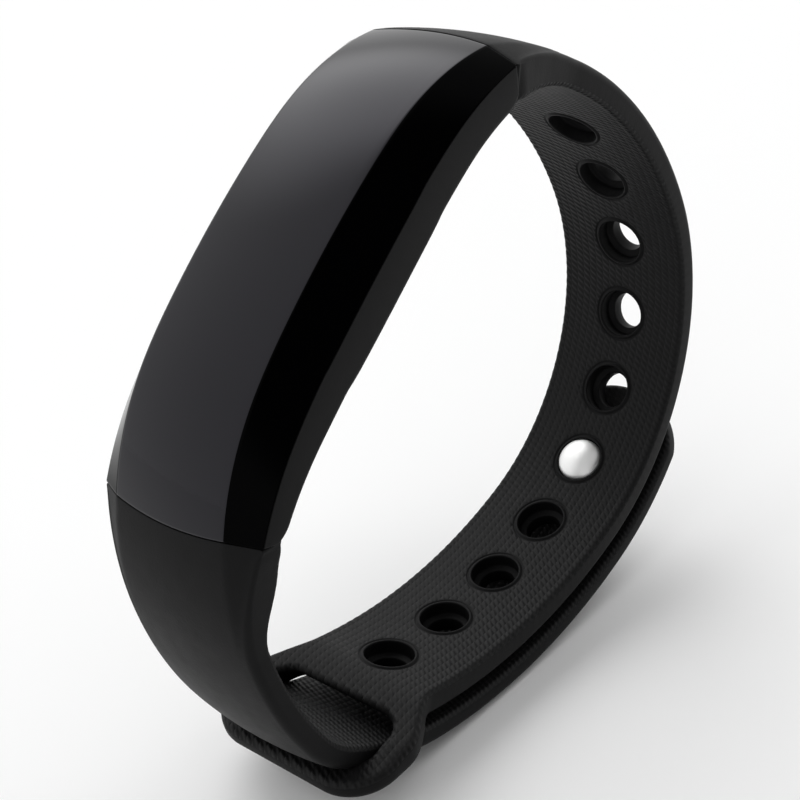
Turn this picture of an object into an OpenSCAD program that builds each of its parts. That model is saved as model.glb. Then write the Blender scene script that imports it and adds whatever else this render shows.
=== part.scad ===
// Fitness tracker band: a curved module, a holed strap that ends in a loop, and a
// tail strap that runs out through the loop and is held by a stud. The band axis is
// Y, +Z is up, and the origin is under the middle of the band. Millimetres.
// Strap curves are chains of arcs that run clockwise, seen from -Y, from the datum
// hole, which is where the band is furthest from the module.

/* [Strap] */
// Distance from one strap hole to the next
hole_pitch = 8; // [7.6:0.1:8.4]
// Number of strap holes
hole_count = 10; // [8:1:10]
// Hole that the stud sits in, counted from the module
stud_hole = 6; // [6:1:6]
// Width of both straps away from the module
strap_w = 14.2; // [13.6:0.1:14.4]
// Thickness of the straps at the middle of their width
strap_t = 2.9; // [2.7:0.1:3]
// Height of the strap's crown over its edges
crown = 0.4; // [0.2:0.1:0.6]
// Radius of the wide part of a hole, on the wrist side
hole_wide_r = 2.35; // [2.2:0.05:2.4]
// Radius of the narrow part of a hole, on the outer side
hole_narrow_r = 1.7; // [1.6:0.05:1.8]
// Depth of the wide part of a hole
hole_step = 1.3; // [1.1:0.1:1.5]

/* [Module] */
// Width of the module across the band
module_w = 17.6; // [17:0.2:18.4]
// Width of the flat top facet of the lens
facet_w = 12; // [11:0.2:12.6]
// Thickness of the lens
lens_t = 1; // [0.8:0.1:1.1]
// Thickness of the case walls and of the back cover
wall_t = 0.9; // [0.8:0.1:1]

/* [Clasp] */
// Radius of the stud's domed head
head_r = 2.3; // [2.1:0.05:2.3]
// Radius of the stud's neck
neck_r = 1.5; // [1.3:0.05:1.6]
// Gap between the holed strap and the tail over it
tail_gap = 0.7; // [0.5:0.1:1]

/* [Hidden] */
$fn = 96;
half_w = strap_w / 2;
corner_r = 0.9;
arc_lap = 0.2;

// Where the datum hole stands over the floor, and how far the band leans
datum_x = 29.25;
datum_z = 25.55;
lean = 10.6;

// ---- Arc chains. A state is [x, z, heading]; a sweep above 0 turns clockwise.
function arc_center(s, r) = [s[0] + r * sin(s[2]), s[1] - r * cos(s[2])];
function arc_end(s, r, sweep) =
    let (c = arc_center(s, r), h = s[2] - sweep)
    [c[0] - r * sin(h), c[1] + r * cos(h), h];
function degrees_of(l, r) = l / r * 180 / PI;
// A state moved outwards, away from the wrist, by d
function shifted(s, d) = [s[0] - d * sin(s[2]), s[1] + d * cos(s[2]), s[2]];

// ---- Holed strap, on its wrist side
bend_r = 21.8;
upper_r = 33.4;
lower_r = 47.3;
datum_hole = 4;
datum = [0, 0, -90];
bend_up_l = 12.8;
bend_down_l = 22.3;
upper_l = 23.2;
lower_l = 27.7;
bend_start = arc_end(datum, bend_r, -degrees_of(bend_up_l, bend_r));
upper_start = arc_end(bend_start, upper_r, -degrees_of(upper_l, upper_r));
bend_end = arc_end(datum, bend_r, degrees_of(bend_down_l, bend_r));
lower_end = arc_end(bend_end, lower_r, degrees_of(lower_l, lower_r));
// State on the wrist side at a length l from the datum hole
function wrist_at(l) =
    l < -bend_up_l ? arc_end(bend_start, upper_r, degrees_of(l + bend_up_l, upper_r)) :
    l < bend_down_l ? arc_end(datum, bend_r, degrees_of(l, bend_r)) :
    arc_end(bend_end, lower_r, degrees_of(l - bend_down_l, lower_r));
function hole_l(i) = (i - datum_hole) * hole_pitch;

// ---- Loop: bends away from the wrist, then runs straight to its end bar
loop_bend_r = 9;
loop_lean = 21.5;
loop_start = arc_end(lower_end, -loop_bend_r, -loop_lean);
loop_t = 2.4;
loop_in_w = 14.9;
slot_start = 1.2;
bar_at = 8.9;
loop_corner_r = 3.6;

// ---- Tail strap, on its outer face, from the tip back to the module
tail_t = 2.5;
tail_off = strap_t + tail_gap + tail_t;
tip_l = 7.5;
tip_joint_l = 30;
tail_run_l = 47.9;
function tail_at(l) = shifted(wrist_at(l), tail_off);
dip_start = tail_at(tail_run_l);
dip_r = 33.44;
dip_sweep = 23.24;
pass_start = arc_end(dip_start, dip_r, dip_sweep);
pass_r = 12;
pass_sweep = 24.83;
rise_start = arc_end(pass_start, pass_r, pass_sweep);
rise_r = 38.87;
rise_sweep = 20.25;
root_start = arc_end(rise_start, rise_r, rise_sweep);
root_r = 26.02;
root_sweep = 24.77;

// ---- Module, in its own frame: X along it, Z out of the lens, 0 at the top facet
chord_tilt = 49.8;
module_x = -50.9;
module_z = 16.6;
flat_r = 100;
flat_a = 5.6;
end_r = 23.5;
end_a = 37.5;
facet_crown = 0.35;
half_m = module_w / 2;
half_f = facet_w / 2;
station_step = end_a / 12;
flat_l = flat_r * flat_a * PI / 180;
end_l = end_r * (end_a - flat_a) * PI / 180;
function side_of(a) = a < 0 ? -1 : 1;
function top_at(a) =
    abs(a) <= flat_a ? [flat_r * sin(a), flat_r * (cos(a) - 1)] :
    [
        side_of(a) * (flat_r - end_r) * sin(flat_a) + end_r * sin(a),
        flat_r * (cos(flat_a) - 1) + end_r * (cos(a) - cos(flat_a))
    ];
function along(a) =
    abs(a) <= flat_a ? flat_r * abs(a) * PI / 180 / (flat_l + end_l) :
    (flat_l + end_r * (abs(a) - flat_a) * PI / 180) / (flat_l + end_l);
bevel_mid = 3.2;
bevel_loss = 1.9;
depth_mid = 7.1;
depth_loss_up = 2.4;
depth_loss_down = 3.2;
up_end_t = depth_mid - depth_loss_up;
down_end_t = depth_mid - depth_loss_down;
up_side_t = up_end_t - bevel_mid + bevel_loss;
down_side_t = down_end_t - bevel_mid + bevel_loss;
function bevel_at(a) = bevel_mid - bevel_loss * pow(along(a), 2.2);
function depth_at(a) =
    depth_mid - (a > 0 ? depth_loss_up : depth_loss_down) * pow(along(a), 2);
// A point at width y and depth d under the top, at angle a
function in_module(a, y, d) =
    let (p = top_at(a)) [p[0] - d * sin(a), y, p[1] - d * cos(a)];
function stations(a0, a1) =
    let (n = ceil((a1 - a0) / station_step)) [for (i = [0 : n]) a0 + (a1 - a0) * i / n];

// Skin over a list of sections that all have the same number of points
module skin(sections) {
    n = len(sections[0]);
    last = len(sections) - 1;
    points = [for (s = sections) each s];
    sides = [
        for (k = [0 : last - 1], i = [0 : n - 1])
            let (j = (i + 1) % n)
            each [[k * n + i, k * n + j, (k + 1) * n + j], [k * n + i, (k + 1) * n + j, (k + 1) * n + i]]
    ];
    caps = [[for (i = [n - 1 : -1 : 0]) i], [for (i = [0 : n - 1]) last * n + i]];
    polyhedron(points, concat(sides, caps), convexity = 6);
}

module in_band() {
    translate([datum_x, 0, datum_z]) rotate([0, lean, 0]) children();
}

module module_place() {
    translate([module_x, 0, module_z]) rotate([0, -chord_tilt, 0]) children();
}

module in_case() {
    in_band() module_place() children();
}

// At angle a of the module: X along the surface, Z out, 0 at depth d
module at_angle(a, d) {
    p = in_module(a, 0, d);
    translate(p) rotate([0, a, 0]) children();
}

// ---- Strap solids
// Section of a strap: X outwards from the wrist side, Y across; the crown is outside
module strap_section(w, t, c) {
    r_crown = (w * w / 4 + c * c) / (2 * c);
    intersection() {
        union() {
            translate([corner_r, -w / 2]) square([t - 2 * corner_r, w]);
            translate([0, -w / 2 + corner_r]) square([t, w - 2 * corner_r]);
            for (x = [corner_r, t - c - corner_r], y = [-1, 1])
                translate([x, y * (w / 2 - corner_r)]) circle(corner_r);
        }
        translate([t - r_crown, 0]) circle(r_crown, $fn = 360);
    }
}

// Turns a section round the centre of the arc that starts at state s; the arc runs
// on by lap, into the next arc of the same piece
module arc_sweep(s, r, sweep, lap = 0) {
    c = arc_center(s, r);
    translate([c[0], 0, c[1]]) rotate([90, 0, 0]) rotate([0, 0, s[2] + 90 - sweep - lap])
        rotate_extrude(angle = sweep + lap) translate([r, 0]) children();
}

// Stands at a state: X along the path, Z outwards
module at_state(s) {
    translate([s[0], 0, s[1]]) rotate([0, -s[2], 0]) children();
}

module strap_holes(first, last) {
    for (i = [first : last]) {
        at_state(wrist_at(hole_l(i))) {
            translate([0, 0, -hole_step]) cylinder(r = hole_wide_r, h = 2 * hole_step);
            cylinder(r = hole_narrow_r, h = 2 * strap_t);
        }
    }
}

// Section of a strap root at state s: as wide as the module at wide 0 and as the strap at 1,
// and flush with the module's top at high 0 and with the strap's at 1
function root_section(s, wide, high, t_side, t_top, t) =
    let (
        lip = 0.5,
        drop = 0.3,
        w = half_m + (half_w - half_m) * wide,
        f = half_f + (half_w - corner_r - half_f) * wide,
        edge = t_side + (t - crown - drop - t_side) * high,
        shoulder = t_top + (t - crown - t_top) * high,
        mid = t_top + facet_crown + (t - t_top - facet_crown) * high
    )
    [for (q = [
        [lip - w, 0], [-w, lip], [-w, edge], [-f, shoulder], [0, mid],
        [f, shoulder], [w, edge], [w, lip], [w - lip, 0]
    ]) let (p = shifted(s, q[1])) [p[0], q[0], p[1]]];

// ---- Module parts
lens_end_a = 0.6;
lens_rim_w = 1.1;
module front_lens() {
    in = half_m - lens_rim_w;
    fi = half_f - lens_t / 2;
    a_in = end_a - lens_end_a;
    color("#0b0b0d") in_case() difference() {
        skin([
            for (a = stations(-end_a, end_a)) let (b = bevel_at(a)) [
                in_module(a, -half_m, b), in_module(a, -half_f, 0), in_module(a, 0, -facet_crown),
                in_module(a, half_f, 0), in_module(a, half_m, b)
            ]
        ]);
        skin([
            for (a = stations(-a_in, a_in)) let (b = bevel_at(a)) [
                in_module(a, -in, b + 1), in_module(a, -in, b), in_module(a, -fi, lens_t),
                in_module(a, fi, lens_t), in_module(a, in, b), in_module(a, in, b + 1)
            ]
        ]);
    }
}

// Bead under the lens's rim, along the case walls and over the case's end walls
gasket_w = 0.6;
gasket_t = 0.4;
gasket_gap = 0.03;
gasket_end_a = 1;
module lens_gasket() {
    y1 = half_m - wall_t;
    y0 = y1 - gasket_w;
    a_in = end_a - end_wall_a;
    yf = half_f - lens_t;
    color("#2a2a2a") in_case() for (side = [-1, 1]) {
        yy = side > 0 ? [y0, y1] : [-y1, -y0];
        skin([
            for (a = stations(-a_in, a_in)) let (b = bevel_at(a)) [
                in_module(a, yy[0], b + gasket_t), in_module(a, yy[0], b + gasket_gap),
                in_module(a, yy[1], b + gasket_gap), in_module(a, yy[1], b + gasket_t)
            ]
        ]);
        skin([
            for (a = side > 0 ? [a_in, end_a - gasket_end_a] : [gasket_end_a - end_a, -a_in])
                let (b = bevel_at(a)) [
                in_module(a, -yf, b), in_module(a, -yf, lens_t + gasket_gap),
                in_module(a, yf, lens_t + gasket_gap), in_module(a, yf, b)
            ]
        ]);
    }
}

// The tongues that the straps' roots slip over; they start inside the end walls
tongue_w = 11;
tongue_l = 3.5;
tongue_t = 1.2;
tongue_up_d = 2.7;
tongue_down_d = 2;
tongue_root = 0.5;
tongue_fit = 0.08;
module tongue(up, grow) {
    side = up ? 1 : -1;
    at_angle(side * end_a, up ? tongue_up_d : tongue_down_d)
        translate([up ? -tongue_root : -tongue_l - grow, -tongue_w / 2 - grow, -tongue_t / 2 - grow])
            cube([tongue_l + tongue_root + grow, tongue_w + 2 * grow, tongue_t + 2 * grow]);
}

end_wall_a = 3;
module case_frame() {
    a_in = end_a - end_wall_a;
    y = half_m - wall_t;
    color("#1c1c1e") in_case() {
        difference() {
            skin([
                for (a = stations(-end_a, end_a)) let (b = bevel_at(a), d = depth_at(a)) [
                    in_module(a, -half_m, d), in_module(a, -half_m, b),
                    in_module(a, half_m, b), in_module(a, half_m, d)
                ]
            ]);
            skin([
                for (a = stations(-a_in, a_in)) let (d = depth_at(a)) [
                    in_module(a, -y, d + 1), in_module(a, -y, -2),
                    in_module(a, y, -2), in_module(a, y, d + 1)
                ]
            ]);
        }
        tongue(true, 0);
        tongue(false, 0);
    }
}

cover_gap = 0.05;
cover_a = end_a - end_wall_a - 2 * cover_gap;
cover_y = half_m - wall_t - cover_gap;
module back_cover() {
    color("#1a1a1c") in_case() difference() {
        skin([
            for (a = stations(-cover_a, cover_a)) let (d = depth_at(a)) [
                in_module(a, -cover_y, d), in_module(a, -cover_y, d - wall_t),
                in_module(a, cover_y, d - wall_t), in_module(a, cover_y, d)
            ]
        ]);
        contact_places() cylinder(r = contact_r, h = 4 * wall_t, center = true);
    }
}

module back_cover_gasket() {
    y0 = cover_y - gasket_w;
    color("#303030") in_case() for (side = [-1, 1]) {
        yy = side > 0 ? [y0, cover_y] : [-cover_y, -y0];
        skin([
            for (a = stations(-cover_a, cover_a)) let (d = depth_at(a) - wall_t) [
                in_module(a, yy[0], d), in_module(a, yy[0], d - gasket_t),
                in_module(a, yy[1], d - gasket_t), in_module(a, yy[1], d)
            ]
        ]);
    }
}

// ---- Inside the module; heights are below the top facet
module slab(x0, x1, w, top, bottom) {
    translate([x0, -w / 2, -bottom]) cube([x1 - x0, w, bottom - top]);
}

panel_x = 12.3;
panel_top = 1.95;
panel_bottom = 3;
panel_w = 10;
panel_gap = 0.05;
frame_rim = 0.9;
frame_top = 2.4;
ribbon_w = 6;
ribbon_t = 0.15;
ribbon_top = 2.6;
ribbon_bottom = 3.95;
board_top = 3.1;
board_bottom = 3.8;
board_x0 = -11.5;
board_x1 = 14.2;
board_w = 13;
module display_panel() {
    color("#15181c") in_case() slab(-panel_x, panel_x, panel_w, panel_top, panel_bottom);
}

module display_frame() {
    color("#d8d8d2") in_case() difference() {
        slab(-panel_x - frame_rim, panel_x + frame_rim, panel_w + 2 * frame_rim, frame_top, panel_bottom);
        slab(-panel_x - panel_gap, panel_x + panel_gap, panel_w + 2 * panel_gap, panel_top, board_bottom);
        slab(-panel_x - 2 * frame_rim, -panel_x, ribbon_w + 2 * ribbon_t, panel_top, board_bottom);
    }
}

// The ribbon turns under the panel's lower end and lies on the board's underside
module display_ribbon() {
    mid = (ribbon_top + ribbon_bottom) / 2;
    r = (ribbon_bottom - ribbon_top) / 2;
    foot = 0.1;
    color("#b5793a") in_case() translate([-panel_x - foot, ribbon_w / 2, -mid]) rotate([90, 0, 0])
        linear_extrude(ribbon_w) {
            difference() {
                circle(r + ribbon_t / 2);
                circle(r - ribbon_t / 2);
                translate([0, -2 * r]) square(4 * r);
            }
            translate([0, r - ribbon_t / 2]) square([foot, ribbon_t]);
            translate([0, -r - ribbon_t / 2]) square([3, ribbon_t]);
        }
}

pad_l = 4;
pad_w = 8;
pad_t = 0.16;
pad_d = 1.28;
module touch_pad() {
    color("#c87f3c") in_case() at_angle(motor_a, pad_d)
        translate([-pad_l / 2, -pad_w / 2, -pad_t / 2]) cube([pad_l, pad_w, pad_t]);
}

module mainboard() {
    color("#14532d") in_case() slab(board_x0, board_x1, board_w, board_top, board_bottom);
}

// A chip under the board, with its middle at x, y
module chip(x, y, l, w, h) {
    translate([x - l / 2, y - w / 2, -board_bottom - h]) cube([l, w, h]);
}

module processor_chip() {
    color("#202124") in_case() chip(-6.2, 3.2, 4, 4, 0.85);
}

module motion_sensor() {
    color("#2b2b30") in_case() chip(-6.2, -1.2, 2, 2, 0.95);
}

module charger_chip() {
    color("#242428") in_case() chip(-6.2, -4.4, 2.9, 1.6, 0.9);
}

module clock_crystal() {
    color("#b9bcc0") in_case() chip(-9.6, 5, 2.5, 2, 0.6);
}

antenna_l = 0.9;
antenna_w = 3.2;
antenna_h = 0.4;
module antenna() {
    color("#e8e4da") in_case()
        slab(board_x1 - antenna_l, board_x1, antenna_w, board_top - antenna_h, board_top);
}

battery_x0 = -3.5;
battery_x1 = 14.5;
battery_top = 4;
battery_bottom = 6;
battery_w = 12;
lead_l = 1.2;
lead_r = 0.25;
lead_d = 4.25;
module battery() {
    color("#9fa6ad") in_case() slab(battery_x0, battery_x1, battery_w, battery_top, battery_bottom);
}

module battery_pad() {
    color("#e9e7df") in_case() slab(battery_x0 + 1, board_x1 - 1, battery_w - 2, board_bottom, battery_top);
}

module battery_leads() {
    color("#b3261e") in_case() for (y = [-0.6, 0.6])
        translate([battery_x0 - lead_l, y, -lead_d]) rotate([0, 90, 0]) cylinder(r = lead_r, h = lead_l);
}

// ---- Charging contacts, flush with the back cover
contact_r = 1.2;
contact_a = -5.5;
contact_y = 3.2;
contact_gap = 0.03;
contact_sink = 0.05;
spring_r = 0.6;
spring_h = 0.8;
module contact_places() {
    for (y = [-1, 1])
        at_angle(contact_a, depth_at(contact_a)) translate([0, y * contact_y, 0]) children();
}

module charge_contacts() {
    color("#d4a93f") in_case() contact_places()
        translate([0, 0, contact_sink]) cylinder(r = contact_r - contact_gap, h = wall_t);
}

module contact_springs() {
    color("#c9ccd0") in_case() contact_places()
        translate([0, 0, contact_sink + wall_t]) cylinder(r = spring_r, h = spring_h);
}

// ---- Vibration motor: a flat can that follows the curve of the lower end
motor_a = -25.5;
motor_d = 3.4;
motor_r = 3;
motor_h = 1.85;
motor_wall = 0.2;
shaft_r = 0.4;
rotor_h = 0.9;
rotor_r = 2.5;
hub_r = 1;
shaft_fit = 0.05;
module motor_case() {
    color("#c4c7ca") in_case() at_angle(motor_a, motor_d) difference() {
        cylinder(r = motor_r, h = motor_h);
        translate([0, 0, motor_wall]) cylinder(r = motor_r - motor_wall, h = motor_h - 2 * motor_wall);
    }
}

module motor_shaft() {
    color("#8e9297") in_case() at_angle(motor_a, motor_d)
        translate([0, 0, motor_wall]) cylinder(r = shaft_r, h = motor_h - 2 * motor_wall);
}

// Half a disc on a hub, so that its weight is off the shaft
module motor_rotor() {
    color("#7d6f5a") in_case() at_angle(motor_a, motor_d)
        translate([0, 0, (motor_h - rotor_h) / 2]) difference() {
            union() {
                cylinder(r = hub_r, h = rotor_h);
                intersection() {
                    cylinder(r = rotor_r, h = rotor_h);
                    translate([-rotor_r, -rotor_r, 0]) cube([rotor_r, 2 * rotor_r, rotor_h]);
                }
            }
            translate([0, 0, -rotor_h]) cylinder(r = shaft_r + shaft_fit, h = 3 * rotor_h);
        }
}

// ---- Holed strap
module holed_strap_root() {
    inner_r = 15.67;
    inner_sweep = 36.71;
    fan_a = 7.85;
    inner_start = arc_end(upper_start, inner_r, -inner_sweep);
    steps = 12;
    color("#26262a") in_band() difference() {
        skin([
            for (k = [0 : steps]) let (
                u = k / steps,
                s = arc_end(inner_start, inner_r, inner_sweep * u),
                fan = fan_a * (1 - u) * (1 - u),
                part = 1 - pow(1 - u, 1.5)
            )
            root_section([s[0], s[1], s[2] - fan], part, part, up_side_t, up_end_t, strap_t)
        ]);
        module_place() tongue(true, tongue_fit);
    }
}

module strap_arc(s, r, sweep) {
    arc_sweep(s, r, sweep) strap_section(strap_w, strap_t, crown);
}

module holed_strap_upper() {
    color("#26262a") in_band() difference() {
        strap_arc(upper_start, upper_r, degrees_of(upper_l, upper_r));
        strap_holes(1, 2);
    }
}

ring_r = 3.1;
module ring_place() {
    at_state(wrist_at(hole_l(stud_hole))) translate([0, 0, -strap_t]) children();
}

// The tight bend is in two pieces, which meet between the fourth and the fifth hole
bend_split_l = 4;
module holed_strap_middle() {
    color("#26262a") in_band() difference() {
        strap_arc(bend_start, bend_r, degrees_of(bend_up_l + bend_split_l, bend_r));
        strap_holes(3, 4);
    }
}

module holed_strap_bend() {
    color("#26262a") in_band() difference() {
        strap_arc(wrist_at(bend_split_l), bend_r, degrees_of(bend_down_l - bend_split_l, bend_r));
        strap_holes(5, stud_hole - 1);
        strap_holes(stud_hole + 1, stud_hole + 1);
        ring_place() cylinder(r = ring_r, h = 3 * strap_t);
    }
}

module holed_strap_lower() {
    color("#26262a") in_band() difference() {
        strap_arc(bend_end, lower_r, degrees_of(lower_l, lower_r));
        strap_holes(stud_hole + 1, hole_count);
    }
}

// The soft ring round the stud, which stretches as the head is pulled through
module stud_hole_ring() {
    color("#222226") in_band() difference() {
        intersection() {
            strap_arc(bend_start, bend_r, degrees_of(bend_up_l + bend_down_l, bend_r));
            ring_place() cylinder(r = ring_r, h = 3 * strap_t);
        }
        strap_holes(stud_hole, stud_hole);
    }
}

loop_bend_steps = 6;
ramp_start = -0.2;
ramp_lip = 0.8;
loop_bar_r = 1;
loop_bar_o = 1.25;
loop_flat_l = 5.2;
loop_flare_l = 4;
loop_arm_start = 4.4;
slot_corner_r = 2;
module strap_loop() {
    out_w = loop_in_w / 2 + loop_t;
    arm_y = loop_in_w / 2 + loop_t / 2;
    bend_a = loop_lean / loop_bend_steps;
    inner = [for (i = [0 : loop_bend_steps]) arc_end(lower_end, -loop_bend_r, -bend_a * i)];
    side = concat(
        [for (s = inner) [s[0], s[1]]],
        [for (o = [0, loop_t]) let (p = shifted(loop_start, o))
            [p[0] + loop_flat_l * cos(p[2]), p[1] + loop_flat_l * sin(p[2])]],
        [for (i = [loop_bend_steps : -1 : 0]) let (p = shifted(inner[i], loop_t)) [p[0], p[1]]]
    );
    flare = [
        for (i = [0 : 6]) let (u = i / 6)
            [loop_flare_l * u, half_w + (out_w - half_w) * u * u * (3 - 2 * u)]
    ];
    half = concat([[-loop_bend_r, half_w]], flare, [[bar_at, out_w]]);
    color("#26262a") in_band() {
        difference() {
            intersection() {
                rotate([90, 0, 0]) linear_extrude(3 * out_w, center = true) polygon(side);
                at_state(loop_start) linear_extrude(4 * loop_t, center = true)
                    polygon(concat(half, [for (i = [len(half) - 1 : -1 : 0]) [half[i][0], -half[i][1]]]));
            }
            at_state(loop_start) linear_extrude(4 * loop_t, center = true) {
                translate([slot_start, slot_corner_r - loop_in_w / 2])
                    square([bar_at, loop_in_w - 2 * slot_corner_r]);
                translate([slot_start + slot_corner_r, -loop_in_w / 2]) square([bar_at, loop_in_w]);
                for (y = [-1, 1])
                    translate([slot_start + slot_corner_r, y * (loop_in_w / 2 - slot_corner_r)])
                        circle(slot_corner_r);
            }
            // The ramp that the tail slides out over
            at_state(loop_start) rotate([90, 0, 0]) linear_extrude(loop_in_w, center = true) polygon([
                [ramp_start, 2 * loop_t], [ramp_start, loop_t], [slot_start, ramp_lip], [bar_at, ramp_lip],
                [bar_at, 2 * loop_t]
            ]);
        }
        at_state(loop_start) {
            for (y = [-1, 1]) {
                translate([loop_arm_start, y * arm_y, loop_bar_o]) rotate([0, 90, 0])
                    cylinder(r = loop_bar_r, h = bar_at - loop_corner_r - loop_arm_start);
                translate([bar_at - loop_corner_r, y * (arm_y - loop_corner_r), loop_bar_o])
                    rotate([0, 0, y > 0 ? 0 : -90]) rotate_extrude(angle = 90)
                        translate([loop_corner_r, 0]) circle(loop_bar_r);
            }
            translate([bar_at, loop_corner_r - arm_y, loop_bar_o]) rotate([-90, 0, 0])
                cylinder(r = loop_bar_r, h = 2 * (arm_y - loop_corner_r));
        }
    }
}

// ---- Tail strap; its section hangs inwards from its outer face
module tail_section(w) {
    translate([-tail_t, 0]) strap_section(w, tail_t, crown);
}

function tail_sweep(l0, l1) = degrees_of(l1 - l0, l0 < bend_down_l ? bend_r : lower_r);
module tail_piece(l0, l1, lap = 0) {
    arc_sweep(tail_at(l0), (l0 < bend_down_l ? bend_r : lower_r) + tail_off, tail_sweep(l0, l1), lap)
        tail_section(strap_w);
}

// The tail's rounded end
tip_r = 7.3;
neck_fit = 0.02;
module tail_tip() {
    stud = wrist_at(hole_l(stud_hole));
    color("#29292d") in_band() difference() {
        intersection() {
            tail_piece(tip_l - 1, bend_down_l);
            at_state(tail_at(tip_l + tip_r * bend_r / (bend_r + tail_off)))
                linear_extrude(8 * tail_t, center = true) {
                    circle(tip_r);
                    translate([0, -strap_w]) square(2 * strap_w);
                }
        }
        at_state(stud) cylinder(r = neck_r + neck_fit, h = 2 * tail_off);
    }
}

module tail_strap_free_end() {
    color("#27272b") in_band() tail_piece(bend_down_l, tip_joint_l);
}

module tail_strap_loop_run() {
    color("#26262a") in_band() {
        tail_piece(tip_joint_l, tail_run_l, arc_lap);
        arc_sweep(dip_start, dip_r, dip_sweep, arc_lap) tail_section(strap_w);
        arc_sweep(pass_start, pass_r, pass_sweep, arc_lap) tail_section(strap_w);
        arc_sweep(rise_start, rise_r, rise_sweep) tail_section(strap_w);
    }
}

module tail_strap_root() {
    steps = 10;
    fill_out = 1.4;
    color("#28282c") in_band() difference() {
        skin([
            for (k = [0 : steps]) let (
                u = k / steps,
                outer = arc_end(root_start, root_r, root_sweep * u),
                v = min(1, fill_out * u),
                high = 1 - v * v * (3 - 2 * v),
                t = down_end_t + facet_crown,
                s = shifted(outer, (t - tail_t) * high - t)
            )
            root_section(s, 1 - pow(u, 1.5), high, down_side_t, down_end_t, tail_t)
        ]);
        module_place() tongue(false, tongue_fit);
    }
}

// ---- Clasp
module clasp_stud() {
    head_gap = 0.1;
    neck_root = 0.2;
    head_bottom = hole_step - head_gap;
    dome_r = 3.6;
    dome_top = -1;
    color("#d9dadc") in_band() at_state(wrist_at(hole_l(stud_hole))) {
        intersection() {
            translate([0, 0, dome_top]) cylinder(r = head_r, h = head_bottom - dome_top);
            translate([0, 0, dome_top + dome_r]) sphere(dome_r);
        }
        translate([0, 0, head_bottom - neck_root])
            cylinder(r = neck_r, h = tail_off - head_bottom + neck_root);
    }
}

module clasp_button() {
    button_r = 3.1;
    button_h = 0.8;
    dome_r = 14;
    color("#d2d3d6") in_band() at_state(wrist_at(hole_l(stud_hole))) intersection() {
        translate([0, 0, tail_off]) cylinder(r = button_r, h = 2 * button_h);
        translate([0, 0, tail_off + button_h - dome_r]) sphere(dome_r, $fn = 200);
    }
}

front_lens();
lens_gasket();
case_frame();
back_cover();
back_cover_gasket();
display_panel();
display_frame();
display_ribbon();
touch_pad();
mainboard();
processor_chip();
motion_sensor();
charger_chip();
clock_crystal();
antenna();
battery();
battery_pad();
battery_leads();
charge_contacts();
contact_springs();
motor_case();
motor_shaft();
motor_rotor();
holed_strap_root();
holed_strap_upper();
holed_strap_middle();
holed_strap_bend();
holed_strap_lower();
strap_loop();
stud_hole_ring();
tail_strap_root();
tail_strap_loop_run();
tail_strap_free_end();
tail_tip();
clasp_stud();
clasp_button();
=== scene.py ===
import math
import bpy
import numpy as np
from mathutils import Matrix, Vector
from mathutils.geometry import delaunay_2d_cdt


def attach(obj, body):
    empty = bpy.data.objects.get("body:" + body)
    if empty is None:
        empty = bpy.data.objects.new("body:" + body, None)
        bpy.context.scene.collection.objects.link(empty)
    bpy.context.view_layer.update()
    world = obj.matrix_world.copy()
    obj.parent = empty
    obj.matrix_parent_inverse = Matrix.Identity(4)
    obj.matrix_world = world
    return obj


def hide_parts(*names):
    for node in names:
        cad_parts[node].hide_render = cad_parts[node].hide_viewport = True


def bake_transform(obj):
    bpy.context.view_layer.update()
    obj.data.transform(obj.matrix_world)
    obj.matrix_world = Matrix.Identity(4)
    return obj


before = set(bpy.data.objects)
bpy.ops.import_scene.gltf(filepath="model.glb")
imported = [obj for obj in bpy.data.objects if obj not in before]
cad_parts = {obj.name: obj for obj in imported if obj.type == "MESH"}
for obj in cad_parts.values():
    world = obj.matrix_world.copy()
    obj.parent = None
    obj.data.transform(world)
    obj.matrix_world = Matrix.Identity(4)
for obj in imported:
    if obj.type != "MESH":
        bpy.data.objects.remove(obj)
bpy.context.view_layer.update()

# ---------------------------------------------------------------- sizes, in mm and degrees
# Where the datum hole stands over the floor, as x and z, and how far the band leans
DATUM, LEAN = (29.25, 25.55), math.radians(10.6)
STRAP_W, STRAP_T, CROWN = 14.2, 2.9, 0.4
HALF_W = STRAP_W / 2
# Rounding of the straps' long edges, and how far these edges are below the crown's foot
CORNER_R, EDGE_DROP = 0.9, 0.3
TAIL_T, TAIL_GAP = 2.5, 0.7
TAIL_OFF = STRAP_T + TAIL_GAP + TAIL_T
HOLE_PITCH, HOLE_COUNT, DATUM_HOLE, STUD_HOLE = 8.0, 10, 4, 6
HOLES = [(i - DATUM_HOLE) * HOLE_PITCH for i in range(1, HOLE_COUNT + 1)]
STUD_L = HOLES[STUD_HOLE - 1]

# Half widths of the module and of its top facet, and the facet's crown over its edges
HALF_M, HALF_F, FACET_CROWN = 8.8, 6.0, 0.35
# The module's thickness under the facet's edge and its bevels' depth, in the middle of its length,
# and how much less they are at its ends
DEPTH_MID, DEPTH_LOSS_UP, DEPTH_LOSS_DOWN = 7.1, 2.4, 3.2
BEVEL_MID, BEVEL_LOSS = 3.2, 1.9
UP_END_T, DOWN_END_T = DEPTH_MID - DEPTH_LOSS_UP, DEPTH_MID - DEPTH_LOSS_DOWN
UP_SIDE_T, DOWN_SIDE_T = (t - BEVEL_MID + BEVEL_LOSS for t in (UP_END_T, DOWN_END_T))
TAIL_ROOT_T = DOWN_END_T + FACET_CROWN
# The module's ends bulge towards the straps. Their wrist-side edges are cut off, up to SEAM_CUT
SEAM_BOW, SEAM_CUT = 0.45, 1.05

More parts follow.
